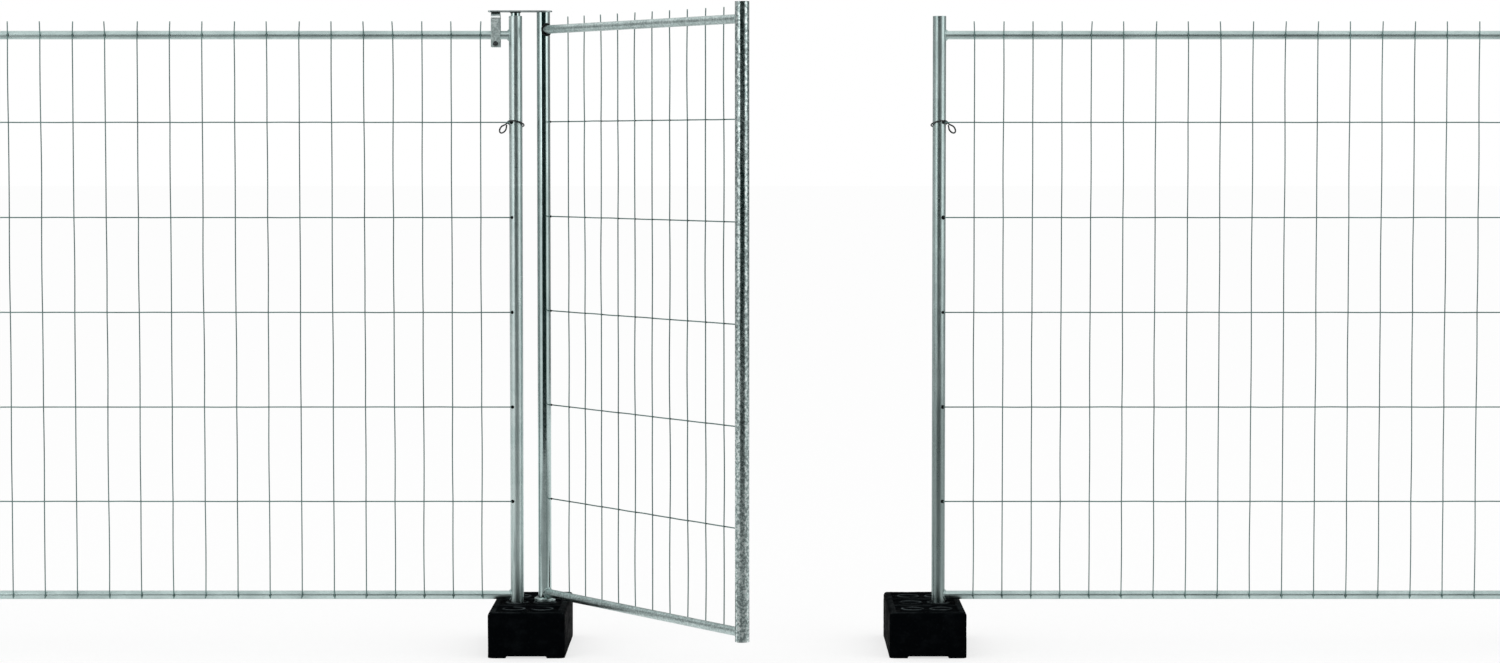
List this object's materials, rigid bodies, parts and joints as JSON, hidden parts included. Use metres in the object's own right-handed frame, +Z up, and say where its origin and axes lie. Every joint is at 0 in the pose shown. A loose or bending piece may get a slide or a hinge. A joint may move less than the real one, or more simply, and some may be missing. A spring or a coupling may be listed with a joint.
{
  "type": "temporary fence with gate",
  "caption": "Free-standing site fence: welded-mesh panels standing in black ballast feet, with a mesh gate leaf hung between them on a plate hinge.",
  "frame": {"origin": "on the ground, straight below the gate's hinge axis, on the fence line", "axes": "+X along the fence line from the hinge to the closing side, +Y to the back, +Z up"},
  "size_m": [6.026, 1.2452, 2.017],
  "materials": {
    "galvanised_steel": "hot-dip galvanised, satin with zinc spangle",
    "zinc_fastener": "dull zinc plate",
    "clip_wire": "dark drawn wire",
    "recycled_plastic": "black moulded recycled plastic, scuffed edges"
  },
  "bodies": {
    "feet": {"left_end_foot": "recycled_plastic", "hinge_foot": "recycled_plastic", "closing_foot": "recycled_plastic", "right_end_foot": "recycled_plastic", "pivot_stub": "galvanised_steel", "pivot_collar": "galvanised_steel", "pivot_pin": "galvanised_steel"},
    "left_panel": {"left_gate_post": "galvanised_steel", "left_end_post": "galvanised_steel", "left_top_rail": "galvanised_steel", "left_bottom_rail": "galvanised_steel", "left_uprights": "galvanised_steel", "left_cross_wires": "galvanised_steel", "top_hinge_plate": "galvanised_steel", "post_spigot": "galvanised_steel", "top_hinge_pin": "galvanised_steel", "rail_strap": "galvanised_steel", "strap_bolt": "zinc_fastener", "strap_nut": "zinc_fastener", "strap_washers": "zinc_fastener"},
    "right_panel": {"right_gate_post": "galvanised_steel", "right_end_post": "galvanised_steel", "right_top_rail": "galvanised_steel", "right_bottom_rail": "galvanised_steel", "right_uprights": "galvanised_steel", "right_cross_wires": "galvanised_steel"},
    "gate_leaf": {"leaf_hinge_post": "galvanised_steel", "leaf_closing_post": "galvanised_steel", "leaf_top_rail": "galvanised_steel", "leaf_bottom_rail": "galvanised_steel", "leaf_uprights": "galvanised_steel", "leaf_cross_wires": "galvanised_steel"},
    "left_clip": {"left_clip": "clip_wire"},
    "right_clip": {"right_clip": "clip_wire"}
  },
  "joints": [
    {"name": "gate_swing", "type": "hinge", "parent": "feet", "child": "gate_leaf", "pos_m": [0, 0, 1], "axis": [0, 0, 1], "range_deg": [-93, 196]},
    {"name": "left_panel_lift", "type": "slide", "parent": "feet", "child": "left_panel", "axis": [0, 0, 1], "range_m": [0, 0.13]},
    {"name": "right_panel_lift", "type": "slide", "parent": "feet", "child": "right_panel", "axis": [0, 0, 1], "range_m": [0, 0.13]},
    {"name": "left_clip_lift", "type": "slide", "parent": "left_panel", "child": "left_clip", "axis": [0, 0, 1], "range_m": [0, 0.22]},
    {"name": "right_clip_lift", "type": "slide", "parent": "right_panel", "child": "right_clip", "axis": [0, 0, 1], "range_m": [0, 0.22]}
  ]
}
